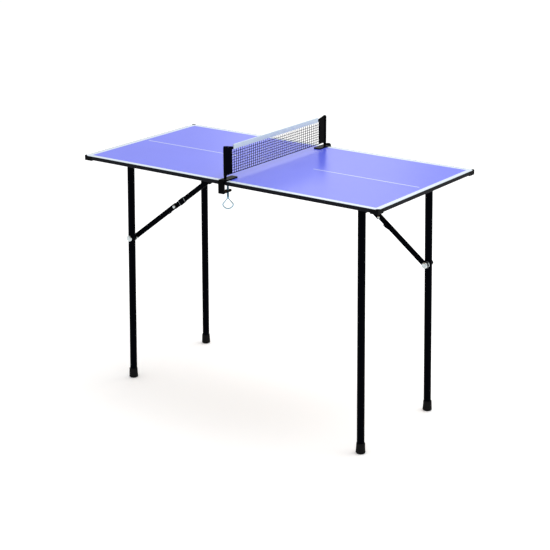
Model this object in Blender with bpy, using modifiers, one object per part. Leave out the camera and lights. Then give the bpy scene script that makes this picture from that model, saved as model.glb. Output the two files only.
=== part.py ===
"""A small folding ping pong table: a board on two hinged leg frames, a folding brace on
each frame, and a net held by two screw clamps.

Metres, +Z up. The origin is on the floor under the middle of the table, +X runs along the length
and +Y across it. Each leg frame and its brace are drawn for the left end, in the side's own
axes. The right end is the same set turned half a turn about the upright middle axis.
"""

import math

import bmesh
import bpy
from mathutils import Matrix, Vector

# The board and its edging
LENGTH = 0.900
WIDTH = 0.450
TOP_Z = 0.635
BOARD_THICKNESS = 0.0095
BAND_THICKNESS = 0.0010
CAP_REACH = 0.023
CAP_FLOOR = 0.0022
LIP_REACH = 0.0075
LIP_THICKNESS = 0.0008
GAP = 0.0003  # the play left between pieces that touch
UNDERSIDE_Z = TOP_Z - BOARD_THICKNESS
MOUNT_Z = UNDERSIDE_Z - GAP  # where pieces screwed to the underside start

# The leg frames
HINGE_X = 0.376
HINGE_Z = 0.6115
LEG_LEAN = math.radians(1.05)  # open legs lean outward, against their stop
LEG_SPLAY = math.radians(0.6)  # and the two legs of a frame spread a little towards the floor
TUBE_RADIUS = 0.0095
TUBE_WALL = 0.0012
PLUG_REACH = 0.012
BRACE_LEG_Y = -0.1295  # the leg that carries the brace, at the hinge axis
PLAIN_LEG_Y = 0.1780  # the other leg, set wider so that the two folded frames lie side by side
FOOT_HEIGHT = 0.0265
FOOT_TOP_RADIUS = 0.0110
FOOT_BOTTOM_RADIUS = 0.0123
FOOT_FLOOR = 0.006

# The saddles that the cross tubes turn in
SADDLE_WALL = 0.0015
SADDLE_BORE = 0.0100
SADDLE_LENGTH = 0.025
SADDLE_FLANGE = 0.026
SADDLE_Y = (-0.085, 0.135)

# The folding brace. Its links are as long as they are so that open they make one straight strut,
# and folded they lie flat under the board.
BOLT_DOWN = 0.2115  # from the hinge axis to the brace bolt, along the leg
LOWER_LINK_LENGTH = 0.1715
BRACKET_PIN = Vector((-0.1321, 0.0, 0.5900))
LOWER_LINK_WIDTH = 0.0136
LOWER_LINK_DEPTH = 0.0050
LOWER_LINK_WALL = 0.0015
UPPER_LINK_WIDTH = 0.0136
UPPER_LINK_THICKNESS = 0.0030
UPPER_LINK_TAIL = 0.042
TAIL_NOTCH = 0.0035
LINK_SPACE = 0.0018  # between the two links, room for the wall of the lock sleeve
BOLT_RADIUS = 0.0030
RIVET_RADIUS = 0.0025
LOWER_RIVET_HEAD = 0.0047
UPPER_RIVET_HEAD = 0.0036
BOLT_HEAD_RADIUS = 0.0082
BOLT_HEAD_HEIGHT = 0.0045
NUT_RADIUS = 0.0064
NUT_HEIGHT = 0.0058
SPACER_RADIUS = 0.0092
SPACER_LENGTH = 0.0030
SLEEVE_LENGTH = 0.021
SLEEVE_START = 0.019  # from the knee rivet
SLEEVE_WALL = 0.0007
BRACKET_THICKNESS = 0.0030
BRACKET_WIDTH = 0.034

# Where the pieces of the brace lie across the table, starting at the brace leg beside its bolt
BOLT_LEG_Y = BRACE_LEG_Y - BOLT_DOWN * math.tan(LEG_SPLAY)
SPACER_Y = BOLT_LEG_Y + TUBE_RADIUS + GAP
LOWER_LINK_Y = SPACER_Y + SPACER_LENGTH + GAP
UPPER_LINK_Y = LOWER_LINK_Y + LOWER_LINK_DEPTH + LINK_SPACE
BRACKET_Y = UPPER_LINK_Y + UPPER_LINK_THICKNESS + 2 * GAP

# The net set
NET_X = 0.005
BASE_WIDTH = 0.020
BASE_INNER_Y = 0.1772
BASE_THICKNESS = 0.0030
BASE_Z = TOP_Z + GAP
CLAMP_WIDTH = 0.016
WEB_INNER_Y = WIDTH / 2 + 0.0030
WEB_OUTER_Y = WIDTH / 2 + 0.0092
WEB_TOP_Z = TOP_Z + 0.0064
ARM_Z = (0.6050, 0.6092)
ARM_REACH = 0.0040  # past the screw, to the middle of its round tip
POST_Y = (0.1895, 0.2190)
POST_THICKNESS = 0.0036
POST_TOP_Z = 0.7200
POST_PLATE_Z = 0.6465
COLUMN_WIDTH = 0.0070
COLUMN_DEPTH = 0.0062
HOOK_REACH = 0.0070
HOOK_HEIGHT = 0.0068
NET_TOP_Z = 0.7190
NET_BOTTOM_Z = 0.6460
TAPE_HEIGHT = 0.0125
TAPE_THICKNESS = 0.0024
NET_THICKNESS = 0.0012
CORD_RADIUS = 0.0013

# The clamp screws
SCREW_Y = 0.2060
SCREW_RADIUS = 0.0030
PAD_RADIUS = 0.0070
PAD_THICKNESS = 0.0030
SCREW_BOTTOM_Z = 0.5890
LOOP_HALF_WIDTH = 0.0127
LOOP_HEIGHT = 0.0275
LOOP_CORNER = 0.0049
LOOP_SLOPE = math.radians(39)  # of its straight sides, from upright
LOOP_WIRE = 0.0016
LOOP_ANGLE = math.radians(36)

ROUND_STEPS = 28  # faces round a tube
SMALL_STEPS = 16  # faces round a bolt, rivet or hole


# --- materials ---------------------------------------------------------------------------------


def make_material(name, color, roughness, metallic=0.0):
    material = bpy.data.materials.new(name)
    material.use_nodes = True
    shader = material.node_tree.nodes["Principled BSDF"]
    shader.inputs["Base Color"].default_value = (*color, 1.0)
    shader.inputs["Roughness"].default_value = roughness
    shader.inputs["Metallic"].default_value = metallic
    return material


# --- helpers -----------------------------------------------------------------------------------


def add_object(name, mesh, material, parent=None, place=None, smooth=False):
    part = bpy.data.objects.new(name, mesh)
    PARTS.objects.link(part)
    part.parent = parent
    part.matrix_local = place or Matrix.Identity(4)
    if not mesh.materials:
        mesh.materials.append(material)
    if smooth:
        shade_smooth(part)
    return part


def shade_smooth(part, angle=math.radians(35)):
    """Smooth shading with sharp edges kept sharp."""
    for face in part.data.polygons:
        face.use_smooth = True
    part.data.set_sharp_from_angle(angle=angle)


def add_empty(name, parent, place):
    empty = bpy.data.objects.new(name, None)
    PARTS.objects.link(empty)
    empty.parent = parent
    empty.matrix_local = place
    return empty


def mesh_from_bmesh(name, bm):
    bmesh.ops.recalc_face_normals(bm, faces=bm.faces)
    mesh = bpy.data.meshes.new(name)
    bm.to_mesh(mesh)
    bm.free()
    return mesh


def box_mesh(name, low, high):
    """A box between two corners."""
    bm = bmesh.new()
    bmesh.ops.create_cube(bm, size=1.0)
    size = Vector(high) - Vector(low)
    middle = (Vector(high) + Vector(low)) / 2
    bmesh.ops.scale(bm, vec=size, verts=bm.verts)
    bmesh.ops.translate(bm, vec=middle, verts=bm.verts)
    return mesh_from_bmesh(name, bm)


def plate_mesh(name, outline, thickness):
    """A flat outline in X and Z, made solid along +Y from 0 to the thickness."""
    bm = bmesh.new()
    corners = [bm.verts.new((x, 0.0, z)) for x, z in outline]
    face = bm.faces.new(corners)
    grown = bmesh.ops.extrude_face_region(bm, geom=[face])
    moved = [item for item in grown["geom"] if isinstance(item, bmesh.types.BMVert)]
    bmesh.ops.translate(bm, vec=(0.0, thickness, 0.0), verts=moved)
    return mesh_from_bmesh(name, bm)


def flat_plate_mesh(name, outline, low, high):
    """A flat outline in X and Y, made solid between two heights."""
    mesh = plate_mesh(name, outline, high - low)
    mesh.transform(Matrix.Translation((0, 0, high)) @ Matrix.Rotation(-math.pi / 2, 4, "X"))
    return mesh


def turned_mesh(name, profile, steps=ROUND_STEPS):
    """A solid turned about the Z axis. The profile is (radius, height) from top to bottom."""
    bm = bmesh.new()
    points = [bm.verts.new((radius, 0.0, height)) for radius, height in profile]
    for first, second in zip(points, points[1:]):
        bm.edges.new((first, second))
    if profile[0][0] > 0 and profile[-1][0] > 0:
        bm.edges.new((points[-1], points[0]))
    bmesh.ops.spin(
        bm,
        geom=bm.verts[:] + bm.edges[:],
        axis=(0.0, 0.0, 1.0),
        cent=(0.0, 0.0, 0.0),
        angle=math.tau,
        steps=steps,
        use_merge=True,
    )
    bmesh.ops.remove_doubles(bm, verts=bm.verts, dist=0.00001)
    return mesh_from_bmesh(name, bm)


def rod_mesh(name, radius, low, high, bore=0.0, steps=ROUND_STEPS):
    """A round bar along Z, or a ring or tube where it has a bore."""
    if bore:
        profile = [(bore, high), (radius, high), (radius, low), (bore, low)]
    else:
        profile = [(0.0, high), (radius, high), (radius, low), (0.0, low)]
    return turned_mesh(name, profile, steps)


def arc(center, radius, start, end, steps):
    """Points on an arc, with the angles in degrees."""
    points = []
    for step in range(steps + 1):
        angle = math.radians(start + (end - start) * step / steps)
        points.append((center[0] + radius * math.cos(angle), center[1] + radius * math.sin(angle)))
    return points


def wire_mesh(name, points, radius, closed=False, caps=True, sides=4):
    """A round wire or tube surface that follows the points."""
    curve = bpy.data.curves.new(name, "CURVE")
    curve.dimensions = "3D"
    curve.bevel_depth = radius
    curve.bevel_resolution = sides
    curve.use_fill_caps = caps
    spline = curve.splines.new("POLY")
    spline.points.add(len(points) - 1)
    for target, point in zip(spline.points, points):
        target.co = (*point, 1.0)
    spline.use_cyclic_u = closed
    holder = bpy.data.objects.new(name, curve)
    mesh = bpy.data.meshes.new_from_object(holder)
    bpy.data.objects.remove(holder)
    bpy.data.curves.remove(curve)
    bm = bmesh.new()
    bm.from_mesh(mesh)
    bpy.data.meshes.remove(mesh)
    bmesh.ops.remove_doubles(bm, verts=bm.verts, dist=0.00001)
    return mesh_from_bmesh(name, bm)


def add_tool(name, mesh, parent=None, place=None):
    """A piece used only to cut or to join."""
    tool = bpy.data.objects.new(name, mesh)
    TOOLS.objects.link(tool)
    tool.parent = parent
    tool.matrix_local = place or Matrix.Identity(4)
    tool.hide_render = True
    tool.display_type = "WIRE"
    return tool


def combine(part, tool, operation):
    modifier = part.modifiers.new(tool.name, "BOOLEAN")
    modifier.operation = operation
    modifier.solver = "EXACT"
    modifier.object = tool


def cut(part, tool):
    combine(part, tool, "DIFFERENCE")


def join(part, tool):
    combine(part, tool, "UNION")


def round_edges(part, width, segments=1):
    bevel = part.modifiers.new("round_edges", "BEVEL")
    bevel.width = width
    bevel.segments = segments
    bevel.limit_method = "ANGLE"
    bevel.angle_limit = math.radians(40)


def along_y(x=0.0, y=0.0, z=0.0):
    """Places a piece drawn along +Z so that it runs along +Y from that point."""
    return Matrix.Translation((x, y, z)) @ Matrix.Rotation(-math.pi / 2, 4, "X")


# --- the board and its edging --------------------------------------------------------------------


def make_board():
    half_x = LENGTH / 2 - BAND_THICKNESS - GAP
    half_y = WIDTH / 2 - BAND_THICKNESS - GAP
    mesh = box_mesh("table_top", (-half_x, -half_y, UNDERSIDE_Z), (half_x, half_y, TOP_Z))
    board = add_object("table_top", mesh, BLUE_BOARD)
    round_edges(board, 0.0003)


def make_edge_strips():
    """A thin band on each side of the board, between the corner caps."""
    long_half = LENGTH / 2 - CAP_REACH - GAP
    short_half = WIDTH / 2 - CAP_REACH - GAP
    long_mesh = box_mesh(
        "edge_strip_long",
        (-long_half, -BAND_THICKNESS, UNDERSIDE_Z),
        (long_half, 0.0, TOP_Z),
    )
    short_mesh = box_mesh(
        "edge_strip_short",
        (-short_half, -BAND_THICKNESS, UNDERSIDE_Z),
        (short_half, 0.0, TOP_Z),
    )
    sides = (
        ("far", long_mesh, WIDTH / 2, 0),
        ("left", short_mesh, LENGTH / 2, 90),
        ("near", long_mesh, WIDTH / 2, 180),
        ("right", short_mesh, LENGTH / 2, 270),
    )
    for side, mesh, out, turn in sides:
        around = Matrix.Rotation(math.radians(turn), 4, "Z")
        place = around @ Matrix.Translation((0, out, 0))
        strip = add_object("edge_strip_" + side, mesh, EDGE_BAND, None, place)
        round_edges(strip, 0.0003)


def make_corner_caps():
    """A plastic shoe on each corner: two walls, a floor under the board and a small lip over it."""
    outer = box_mesh(
        "corner_cap",
        (-CAP_REACH, -CAP_REACH, UNDERSIDE_Z - CAP_FLOOR - GAP),
        (0.0, 0.0, TOP_Z - GAP),
    )
    wall = BAND_THICKNESS
    inner_low = (-CAP_REACH - 0.01, -CAP_REACH - 0.01, UNDERSIDE_Z - GAP)
    inner = box_mesh("corner_pocket", inner_low, (-wall, -wall, TOP_Z + 0.01))
    under_lip = box_mesh("under_lip", inner_low, (-wall, -wall, TOP_Z + GAP))
    tip = -LIP_REACH
    lip_outline = [(-GAP, -GAP), (tip, -GAP), (tip, -wall), (-wall, tip), (-GAP, tip)]
    lip = flat_plate_mesh("corner_lip", lip_outline, TOP_Z - 0.003, TOP_Z + GAP + LIP_THICKNESS)
    corners = (
        ("far_right", 1, 1, 0),
        ("far_left", -1, 1, 90),
        ("near_left", -1, -1, 180),
        ("near_right", 1, -1, 270),
    )
    for corner, side_x, side_y, turn in corners:
        at_corner = Matrix.Translation((side_x * LENGTH / 2, side_y * WIDTH / 2, 0))
        place = at_corner @ Matrix.Rotation(math.radians(turn), 4, "Z")
        cap = add_object("corner_cap_" + corner, outer, CORNER_PLASTIC, None, place)
        cut(cap, add_tool("corner_pocket_" + corner, inner, None, place))
        round_edges(cap, 0.0003)
        join(cap, add_tool("corner_lip_" + corner, lip, None, place))
        cut(cap, add_tool("under_lip_" + corner, under_lip, None, place))


# --- leg frames ----------------------------------------------------------------------------------


def leg_length():
    """Along the leg, from the hinge axis to the floor of the foot's socket."""
    return (HINGE_Z - FOOT_FLOOR - GAP) / (math.cos(LEG_LEAN) * math.cos(LEG_SPLAY))


def leg_place(y):
    """The leg's own axes: its top end is at the hinge axis and it spreads outward going down."""
    spread = math.copysign(LEG_SPLAY, y)
    return Matrix.Translation((0, y, 0)) @ Matrix.Rotation(spread, 4, "X")


def make_crossbar(side, frame):
    """The tube welded between the tops of the two legs. It turns in the saddles.

    Each end is cut to the round of the leg that it meets.
    """
    name = "leg_crossbar_" + side
    mesh = rod_mesh(name, TUBE_RADIUS, 0.0, PLAIN_LEG_Y - BRACE_LEG_Y, TUBE_RADIUS - TUBE_WALL)
    crossbar = add_object(name, mesh, BLACK_STEEL, frame, along_y(0.0, BRACE_LEG_Y, 0.0), smooth=True)
    round_of_leg = rod_mesh("crossbar_end", TUBE_RADIUS + GAP, -0.03, 0.03)
    for end, y in (("brace", BRACE_LEG_Y), ("plain", PLAIN_LEG_Y)):
        cut(crossbar, add_tool(f"crossbar_end_{end}_{side}", round_of_leg, frame, leg_place(y)))


def make_leg(name, frame, y):
    """A straight tube from just above the hinge axis down into the foot."""
    mesh = rod_mesh(name, TUBE_RADIUS, -leg_length(), TUBE_RADIUS, TUBE_RADIUS - TUBE_WALL)
    return add_object(name, mesh, BLACK_STEEL, frame, leg_place(y), smooth=True)


def make_plug(name, frame, y):
    """The plastic plug that closes the top of a leg."""
    bore = TUBE_RADIUS - TUBE_WALL - GAP
    top = TUBE_RADIUS + GAP
    profile = [
        (0.0, top + 0.0009),
        (bore - 0.0004, top + 0.0009),
        (bore + 0.0004, top),
        (bore, top),
        (bore, top - PLUG_REACH),
        (0.0, top - PLUG_REACH),
    ]
    mesh = turned_mesh(name, profile)
    add_object(name, mesh, CORNER_PLASTIC, frame, leg_place(y), smooth=True)


def make_foot(name, frame, y):
    """A rubber shoe that stands upright, with a leaning socket for the tube."""
    profile = [
        (0.0, FOOT_HEIGHT),
        (FOOT_TOP_RADIUS - 0.0008, FOOT_HEIGHT),
        (FOOT_TOP_RADIUS, FOOT_HEIGHT - 0.0008),
        (FOOT_BOTTOM_RADIUS - 0.0003, 0.0050),
        (FOOT_BOTTOM_RADIUS, 0.0030),
        (FOOT_BOTTOM_RADIUS - 0.0006, 0.0012),
        (FOOT_BOTTOM_RADIUS - 0.0020, 0.0),
        (0.0, 0.0),
    ]
    mesh = turned_mesh(name, profile)
    upright = Matrix.Rotation(-LEG_LEAN, 4, "Y")
    drop = HINGE_Z / math.cos(LEG_LEAN)
    foot_y = y + math.copysign(drop * math.tan(LEG_SPLAY), y)
    below_hinge = Matrix.Translation((0, foot_y, -drop))
    foot = add_object(name, mesh, RUBBER, frame, below_hinge @ upright, smooth=True)
    socket = rod_mesh(name + "_socket", TUBE_RADIUS + GAP, -leg_length() - GAP, -0.5)
    cut(foot, add_tool(name + "_socket", socket, frame, leg_place(y)))


def drill_brace_leg(leg, side, frame):
    hole = rod_mesh("bolt_hole_" + side, BOLT_RADIUS + GAP, -0.02, 0.02, steps=SMALL_STEPS)
    place = along_y(0.0, BOLT_LEG_Y, -BOLT_DOWN)
    cut(leg, add_tool("bolt_hole_" + side, hole, frame, place))


def make_saddles(side, end):
    """Bent steel straps, screwed to the underside, that the cross tube turns in."""
    outside = SADDLE_BORE + SADDLE_WALL
    flange_z = MOUNT_Z - SADDLE_WALL
    outline = [
        (-SADDLE_FLANGE, flange_z),
        (-outside, flange_z),
        *arc((0.0, HINGE_Z), outside, 180, 360, 12),
        (outside, flange_z),
        (SADDLE_FLANGE, flange_z),
        (SADDLE_FLANGE, MOUNT_Z),
        (SADDLE_BORE, MOUNT_Z),
        *arc((0.0, HINGE_Z), SADDLE_BORE, 360, 180, 12),
        (-SADDLE_BORE, MOUNT_Z),
        (-SADDLE_FLANGE, MOUNT_Z),
    ]
    mesh = plate_mesh("hinge_saddle", outline, SADDLE_LENGTH)
    for number, y in enumerate(SADDLE_Y, start=1):
        place = Matrix.Translation((-HINGE_X, y - SADDLE_LENGTH / 2, 0))
        add_object(f"hinge_saddle_{side}_{number}", mesh, BLACK_STEEL, end, place, smooth=True)


def make_frame(side, end):
    hinge = Matrix.Translation((-HINGE_X, 0, HINGE_Z)) @ Matrix.Rotation(LEG_LEAN, 4, "Y")
    frame = add_empty("leg_axis_" + side, end, hinge)
    make_saddles(side, end)
    make_crossbar(side, frame)
    for kind, y in (("brace_side", BRACE_LEG_Y), ("plain_side", PLAIN_LEG_Y)):
        leg = make_leg(f"leg_{kind}_{side}", frame, y)
        if y == BRACE_LEG_Y:
            drill_brace_leg(leg, side, frame)
        make_plug(f"leg_plug_{kind}_{side}", frame, y)
        make_foot(f"foot_{kind}_{side}", frame, y)
    return frame


# --- folding braces ------------------------------------------------------------------------------


def bolt_point():
    """The brace bolt's axis on the leaning leg."""
    x = -HINGE_X - BOLT_DOWN * math.sin(LEG_LEAN)
    z = HINGE_Z - BOLT_DOWN * math.cos(LEG_LEAN)
    return Vector((x, 0.0, z))


def strut_angle():
    """The slope of the straight strut, from the brace bolt up to the bracket pin."""
    rise = BRACKET_PIN - bolt_point()
    return math.atan2(rise.z, rise.x)


def upper_link_length():
    return (BRACKET_PIN - bolt_point()).length - LOWER_LINK_LENGTH


def make_leg_bolt(side, frame):
    """A bolt through the leg, a spacer, and the nut that holds the lower link on.

    The left bolt goes in from the outside. The right one goes in from the inside and has a
    black nut.
    """
    outer_y = BOLT_LEG_Y - TUBE_RADIUS - GAP
    inner_y = LOWER_LINK_Y + LOWER_LINK_DEPTH + GAP
    shank = inner_y - outer_y + NUT_HEIGHT + 0.0004
    head = BOLT_HEAD_RADIUS
    profile = [
        (0.0, shank),
        (BOLT_RADIUS, shank),
        (BOLT_RADIUS, 0.0),
        (head, 0.0),
        (head, -0.0014),
        (head * 0.92, -BOLT_HEAD_HEIGHT * 0.62),
        (head * 0.66, -BOLT_HEAD_HEIGHT * 0.90),
        (0.0, -BOLT_HEAD_HEIGHT),
    ]
    bolt = turned_mesh("leg_bolt_" + side, profile, SMALL_STEPS)
    bore = (BOLT_RADIUS + GAP) / math.cos(math.pi / 6)
    nut_profile = [
        (bore, NUT_HEIGHT),
        (NUT_RADIUS - 0.0008, NUT_HEIGHT),
        (NUT_RADIUS, NUT_HEIGHT - 0.0007),
        (NUT_RADIUS, 0.0),
        (bore, 0.0),
    ]
    nut = turned_mesh("leg_nut_" + side, nut_profile, steps=6)
    outward = along_y(0.0, outer_y, -BOLT_DOWN)
    inward = along_y(0.0, inner_y, -BOLT_DOWN)
    turn_round = Matrix.Rotation(math.pi, 4, "X")
    if side == "left":
        add_object("leg_bolt_" + side, bolt, ZINC, frame, outward, smooth=True)
        add_object("leg_nut_" + side, nut, ZINC, frame, inward)
    else:
        add_object("leg_bolt_" + side, bolt, ZINC, frame, inward @ turn_round, smooth=True)
        add_object("leg_nut_" + side, nut, BLACK_STEEL, frame, outward @ turn_round)
    spacer = rod_mesh("leg_spacer_" + side, SPACER_RADIUS, 0.0, SPACER_LENGTH, BOLT_RADIUS + GAP, SMALL_STEPS)
    place = along_y(0.0, SPACER_Y, -BOLT_DOWN)
    add_object("leg_spacer_" + side, spacer, ZINC, frame, place, smooth=True)


def make_lower_link(side, link):
    """A steel channel, from the brace bolt to the knee. Its open side faces the leg."""
    half = LOWER_LINK_WIDTH / 2
    depth = LOWER_LINK_DEPTH
    wall = LOWER_LINK_WALL
    section = [(-half, 0.0), (-half + wall, 0.0), (-half + wall, depth - wall), (half - wall, depth - wall)]
    section += [(half - wall, 0.0), (half, 0.0), (half, depth), (-half, depth)]
    start = -0.0075
    end = LOWER_LINK_LENGTH + 0.0085
    bm = bmesh.new()
    face = bm.faces.new([bm.verts.new((start, y, z)) for z, y in section])
    grown = bmesh.ops.extrude_face_region(bm, geom=[face])
    moved = [item for item in grown["geom"] if isinstance(item, bmesh.types.BMVert)]
    bmesh.ops.translate(bm, vec=(end - start, 0.0, 0.0), verts=moved)
    mesh = mesh_from_bmesh("brace_lower_link_" + side, bm)
    place = Matrix.Translation((0, LOWER_LINK_Y, 0))
    part = add_object("brace_lower_link_" + side, mesh, BLACK_STEEL, link, place)
    for name, x, radius in (("bolt", 0.0, BOLT_RADIUS), ("rivet", LOWER_LINK_LENGTH, RIVET_RADIUS)):
        hole = rod_mesh("lower_hole", radius + GAP, -0.01, 0.02, steps=SMALL_STEPS)
        cut(part, add_tool(f"lower_{name}_hole_{side}", hole, link, along_y(x, LOWER_LINK_Y, 0.0)))
    round_edges(part, 0.0005)


def make_lower_rivet(side, link):
    """The half of the knee rivet that is fast in the lower link. Its head sits in the channel."""
    web = LOWER_LINK_Y + LOWER_LINK_DEPTH - LOWER_LINK_WALL
    head = LOWER_RIVET_HEAD
    profile = [
        (0.0, LOWER_LINK_WALL),
        (RIVET_RADIUS, LOWER_LINK_WALL),
        (RIVET_RADIUS, -GAP),
        (head, -GAP),
        (head, -GAP - 0.0012),
        (head * 0.8, -GAP - 0.0024),
        (head * 0.4, -GAP - 0.0031),
        (0.0, -GAP - 0.0033),
    ]
    mesh = turned_mesh("knee_rivet_lower_" + side, profile, steps=SMALL_STEPS)
    place = along_y(LOWER_LINK_LENGTH, web, 0.0)
    add_object("knee_rivet_lower_" + side, mesh, ZINC, link, place, smooth=True)


def make_upper_link(side, link):
    """A flat bar from the bracket pin to the knee, with a tail that runs on beside the lower link."""
    half = UPPER_LINK_WIDTH / 2
    reach = upper_link_length()
    tail = reach + UPPER_LINK_TAIL
    outline = [
        *arc((0.0, 0.0), half, 90, 270, 12),
        (reach + 0.001, -half),
        (reach + 0.003, -half + TAIL_NOTCH),
        (reach + 0.0215, -half + TAIL_NOTCH),
        (reach + 0.0220, -half),
        (tail - 0.012, -half),
        (tail, -half + 0.0030),
        (tail, -half + 0.0055),
        (reach + 0.022, half - 0.0020),
        (reach + 0.009, half),
    ]
    mesh = plate_mesh("brace_upper_link_" + side, [(-x, z) for x, z in outline], UPPER_LINK_THICKNESS)
    place = Matrix.Translation((0, UPPER_LINK_Y, 0))
    part = add_object("brace_upper_link_" + side, mesh, BLACK_STEEL, link, place)
    for name, x in (("pin", 0.0), ("rivet", -reach)):
        hole = rod_mesh("upper_hole", RIVET_RADIUS + GAP, -0.01, 0.02, steps=SMALL_STEPS)
        cut(part, add_tool(f"upper_{name}_hole_{side}", hole, link, along_y(x, UPPER_LINK_Y, 0.0)))
    round_edges(part, 0.0005)


def make_upper_rivet(side, link):
    """The half of the knee rivet that is fast in the upper link, with the outer head."""
    head = UPPER_RIVET_HEAD
    depth = UPPER_LINK_THICKNESS + GAP
    profile = [
        (0.0, depth + 0.0026),
        (head * 0.45, depth + 0.0023),
        (head * 0.8, depth + 0.0015),
        (head, depth + 0.0004),
        (head, depth),
        (RIVET_RADIUS, depth),
        (RIVET_RADIUS, 0.0),
        (0.0, 0.0),
    ]
    mesh = turned_mesh("knee_rivet_upper_" + side, profile, steps=SMALL_STEPS)
    place = along_y(-upper_link_length(), UPPER_LINK_Y, 0.0)
    add_object("knee_rivet_upper_" + side, mesh, ZINC, link, place, smooth=True)


def make_lock_sleeve(side, link):
    """A short rectangular sleeve that slides on the upper link and locks the knee."""
    inner_z = UPPER_LINK_WIDTH / 2 + GAP
    outer_z = inner_z + SLEEVE_WALL
    inner_low = UPPER_LINK_Y - GAP
    inner_high = UPPER_LINK_Y + UPPER_LINK_THICKNESS + GAP
    start = -(upper_link_length() - SLEEVE_START)
    end = start + SLEEVE_LENGTH
    outer = box_mesh(
        "lock_sleeve_" + side,
        (start, inner_low - SLEEVE_WALL, -outer_z),
        (end, inner_high + SLEEVE_WALL, outer_z),
    )
    inner = box_mesh(
        "lock_sleeve_bore",
        (start - 0.01, inner_low, -inner_z),
        (end + 0.01, inner_high, inner_z),
    )
    part = add_object("lock_sleeve_" + side, outer, BLACK_STEEL, link)
    cut(part, add_tool("lock_sleeve_bore_" + side, inner, link))
    round_edges(part, 0.0003)


def make_bracket(side, end):
    """An angle bracket under the board, and the pin that the upper link turns on."""
    half = BRACKET_WIDTH / 2
    pin_radius = 0.0095
    plate_top = MOUNT_Z - BRACKET_PIN.z
    outline = [
        (-half, plate_top),
        (-half, plate_top - 0.010),
        *arc((0.0, 0.0), pin_radius, 200, 340, 12),
        (half, plate_top - 0.010),
        (half, plate_top),
    ]
    name = "brace_bracket_" + side
    mesh = plate_mesh(name, outline, BRACKET_THICKNESS)
    at_pin = Matrix.Translation((BRACKET_PIN.x, BRACKET_Y, BRACKET_PIN.z))
    bracket = add_object(name, mesh, BLACK_STEEL, end, at_pin)
    flange = box_mesh(
        "bracket_flange_" + side,
        (-half, 0.0, plate_top - BRACKET_THICKNESS),
        (half, 0.026, plate_top),
    )
    join(bracket, add_tool("bracket_flange_" + side, flange, end, at_pin))
    hole = rod_mesh("bracket_hole", RIVET_RADIUS + GAP, -0.01, 0.01, steps=SMALL_STEPS)
    place = along_y(BRACKET_PIN.x, BRACKET_Y, BRACKET_PIN.z)
    cut(bracket, add_tool("bracket_hole_" + side, hole, end, place))
    round_edges(bracket, 0.0005)
    pin_start = UPPER_LINK_Y - GAP
    pin_end = BRACKET_Y + BRACKET_THICKNESS + GAP - pin_start
    profile = [
        (0.0, pin_end + 0.0018),
        (0.0036, pin_end + 0.0014),
        (0.0046, pin_end),
        (RIVET_RADIUS, pin_end),
        (RIVET_RADIUS, 0.0),
        (0.0046, 0.0),
        (0.0042, -0.0010),
        (0.0, -0.0010),
    ]
    pin = turned_mesh("bracket_pin_" + side, profile, steps=SMALL_STEPS)
    place = along_y(BRACKET_PIN.x, pin_start, BRACKET_PIN.z)
    add_object("bracket_pin_" + side, pin, BLACK_STEEL, end, place, smooth=True)


def make_brace(side, end, frame):
    slope = strut_angle()
    lean_back = Matrix.Rotation(-LEG_LEAN, 4, "Y")
    up_slope = Matrix.Rotation(-slope, 4, "Y")
    at_bolt = Matrix.Translation((0, 0, -BOLT_DOWN)) @ lean_back @ up_slope
    lower = add_empty("lower_link_axis_" + side, frame, at_bolt)
    upper = add_empty("upper_link_axis_" + side, end, Matrix.Translation(BRACKET_PIN) @ up_slope)
    make_leg_bolt(side, frame)
    make_lower_link(side, lower)
    make_lower_rivet(side, lower)
    make_upper_link(side, upper)
    make_upper_rivet(side, upper)
    make_lock_sleeve(side, upper)
    make_bracket(side, end)


# --- the net and its clamps ----------------------------------------------------------------------


def make_clamp_body(side, holder):
    """A cast clamp: a base on the board, a web down its edge and an arm under it."""
    base_outline = [
        *arc((-BASE_WIDTH / 2 + 0.003, BASE_INNER_Y + 0.003), 0.003, 180, 270, 4),
        *arc((BASE_WIDTH / 2 - 0.003, BASE_INNER_Y + 0.003), 0.003, 270, 360, 4),
        (BASE_WIDTH / 2, WIDTH / 2 + 0.001),
        (CLAMP_WIDTH / 2, WEB_INNER_Y + 0.001),
        (-CLAMP_WIDTH / 2, WEB_INNER_Y + 0.001),
        (-BASE_WIDTH / 2, WIDTH / 2 + 0.001),
    ]
    name = "clamp_body_" + side
    mesh = flat_plate_mesh(name, base_outline, BASE_Z, BASE_Z + BASE_THICKNESS)
    body = add_object(name, mesh, CAST_BLACK, holder)
    half = CLAMP_WIDTH / 2
    web_outline = [
        (-half, ARM_Z[0]),
        (half, ARM_Z[0]),
        *arc((half - 0.006, WEB_TOP_Z - 0.006), 0.006, 0, 90, 6),
        *arc((-half + 0.006, WEB_TOP_Z - 0.006), 0.006, 90, 180, 6),
    ]
    web = plate_mesh("clamp_web_" + side, web_outline, WEB_OUTER_Y - WEB_INNER_Y)
    join(body, add_tool("clamp_web_" + side, web, holder, Matrix.Translation((0, WEB_INNER_Y, 0))))
    arm_outline = [
        *arc((0.0, SCREW_Y - ARM_REACH), half - 0.001, 180, 360, 12),
        (half - 0.001, WEB_OUTER_Y - 0.001),
        (-half + 0.001, WEB_OUTER_Y - 0.001),
    ]
    arm = flat_plate_mesh("clamp_arm_" + side, arm_outline, ARM_Z[0] + 0.0002, ARM_Z[1])
    join(body, add_tool("clamp_arm_" + side, arm, holder))
    thread = rod_mesh("clamp_thread_" + side, SCREW_RADIUS + GAP, 0.595, 0.618, steps=SMALL_STEPS)
    cut(body, add_tool("clamp_thread_" + side, thread, holder, Matrix.Translation((0, SCREW_Y, 0))))
    round_edges(body, 0.0006)


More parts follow.
